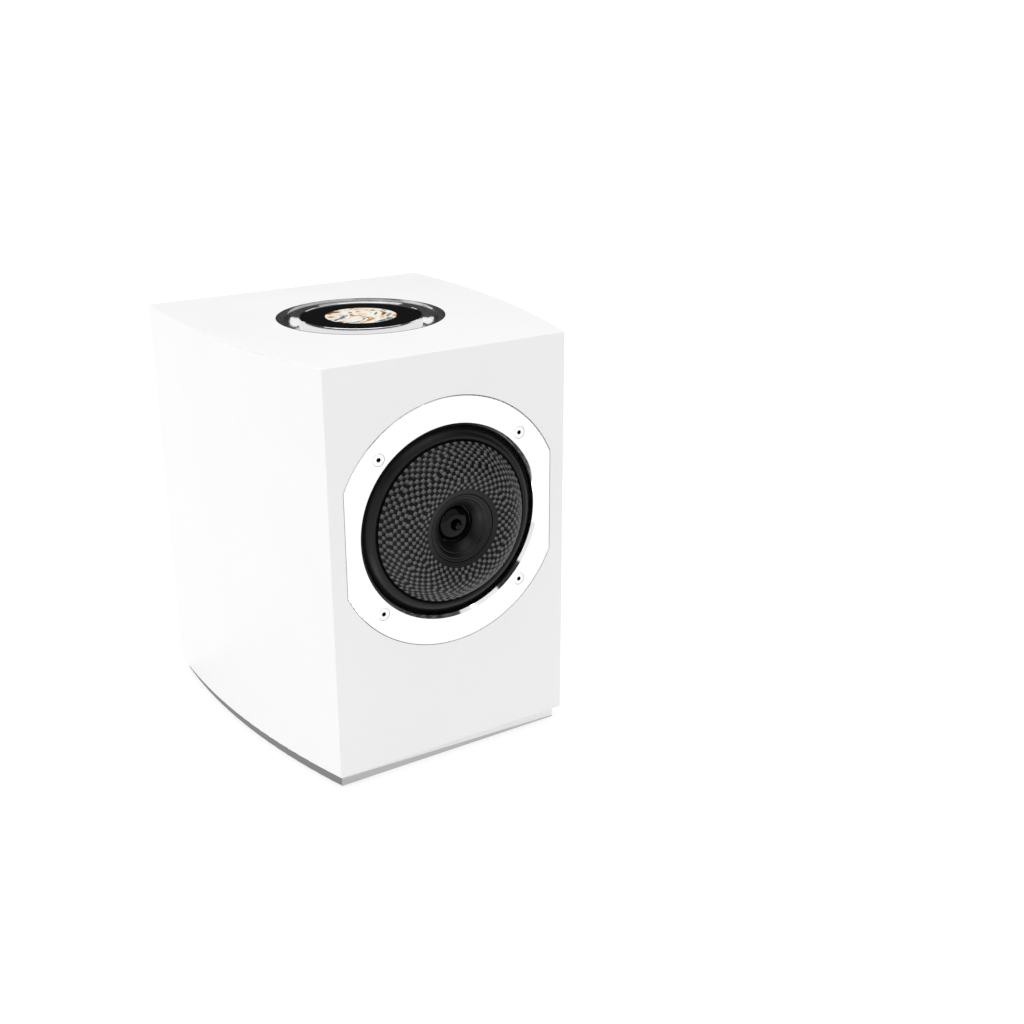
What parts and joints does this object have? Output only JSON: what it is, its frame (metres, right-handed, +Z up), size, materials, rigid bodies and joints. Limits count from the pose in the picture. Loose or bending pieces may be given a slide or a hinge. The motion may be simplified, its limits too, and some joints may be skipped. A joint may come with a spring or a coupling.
{
  "type": "bookshelf speaker",
  "caption": "Active bookshelf speaker: bowed white cabinet on a metal plinth, coaxial driver with woven ring membrane, rotating volume ring around a round display on top.",
  "frame": {"origin": "on the floor, under the middle of the whole object's box", "axes": "+Z up, front baffle and driver face -Y, +X to the right as seen from the front"},
  "size_m": [0.2432, 0.2688, 0.3099],
  "materials": {
    "lacquer": "satin white lacquer on board",
    "board": "raw fibreboard",
    "felt": "grey damping felt",
    "polished_metal": "polished",
    "ground_metal": "ground",
    "ring_metal": "polished",
    "cast_metal": "black coated die casting",
    "dark_metal": "dark polished",
    "machine_steel": "plated",
    "black_steel": "blackened",
    "brass": "turned",
    "foam": "closed-cell foam",
    "rubber": "matte",
    "ferrite": "ground ceramic magnet",
    "spider_cloth": "resin-stiffened cloth",
    "former": "thin sheet",
    "copper": "enamelled copper wire",
    "woven_fibre": "coated basket weave",
    "horn_plastic": "moulded satin black",
    "dome_film": "gloss black",
    "black_glass": "black display glass, opaque",
    "black_plastic": "moulded",
    "bearing_polymer": "natural acetal",
    "circuit_board": "solder-masked board",
    "anodised_black": "black anodised",
    "contact_metal": "plated",
    "wire": "insulated wire"
  },
  "bodies": {
    "cabinet": {"acoustic_wadding": "felt", "amplifier_board": "circuit_board", "amplifier_plate": "anodised_black", "board_standoffs": "machine_steel", "bottom_panel": "lacquer", "dial_bearing": "bearing_polymer", "dial_clamp_ring": "black_steel", "dial_hub": "black_plastic", "dial_screws": "black_steel", "dial_trough": "dark_metal", "display_glass": "black_glass", "display_panel": "black_plastic", "driver_basket": "cast_metal", "driver_gasket": "foam", "driver_leads": "wire", "driver_screws": "machine_steel", "driver_trim_ring": "ring_metal", "encoder_board": "circuit_board", "ferrite_magnet": "ferrite", "front_baffle": "lacquer", "front_pole_plate": "machine_steel", "heat_sink": "anodised_black", "inlet_pins": "machine_steel", "left_side_panel": "lacquer", "line_input_jacks": "contact_metal", "mains_inlet": "black_plastic", "membrane_surround": "rubber", "network_socket": "black_plastic", "plate_screws": "black_steel", "plinth_plate": "ground_metal", "plinth_screws": "black_steel", "power_supply_board": "circuit_board", "rear_baffle": "lacquer", "rear_pole_piece": "machine_steel", "reflex_port": "black_plastic", "right_side_panel": "lacquer", "ring_retainer": "black_steel", "rubber_feet": "rubber", "spider": "spider_cloth", "switch_housing": "black_plastic", "threaded_inserts": "brass", "top_panel": "lacquer", "tweeter_cup": "machine_steel", "tweeter_magnet": "machine_steel", "tweeter_phase_tip": "horn_plastic", "tweeter_stem": "black_steel", "tweeter_waveguide": "horn_plastic", "usb_socket": "machine_steel", "window_brace": "board"},
    "woofer_moving": {"woofer_membrane": "woven_fibre", "membrane_seal_ring": "rubber", "voice_coil_former": "former", "voice_coil": "copper"},
    "tweeter_moving": {"tweeter_dome": "dome_film", "tweeter_voice_coil": "copper"},
    "volume_dial": {"volume_ring": "polished_metal", "ring_bezel": "polished_metal", "encoder_magnet_ring": "ferrite"},
    "rocker": {"power_rocker": "black_plastic"},
    "button": {"pairing_button": "black_plastic"}
  },
  "joints": [
    {"name": "volume_spin", "type": "hinge", "parent": "cabinet", "child": "volume_dial", "pos_m": [0, 0.00923, 0.3095], "axis": [0, 0, 1], "continuous": true},
    {"name": "woofer_travel", "type": "slide", "parent": "cabinet", "child": "woofer_moving", "axis": [0, -1, 0], "range_m": [-0.005, 0.005], "stiffness_N_per_m": 1200, "deforming": ["membrane_surround", "spider"]},
    {"name": "tweeter_travel", "type": "slide", "parent": "cabinet", "child": "tweeter_moving", "axis": [0, -1, 0], "range_m": [-0.0003, 0.0003], "stiffness_N_per_m": 1500},
    {"name": "power_switch", "type": "hinge", "parent": "cabinet", "child": "rocker", "pos_m": [-0.014, 0.12043, 0.058], "axis": [1, 0, 0], "range_deg": [0, 20]},
    {"name": "pairing_press", "type": "slide", "parent": "cabinet", "child": "button", "axis": [0, -1, 0], "range_m": [0, 0.0012], "stiffness_N_per_m": 600}
  ]
}
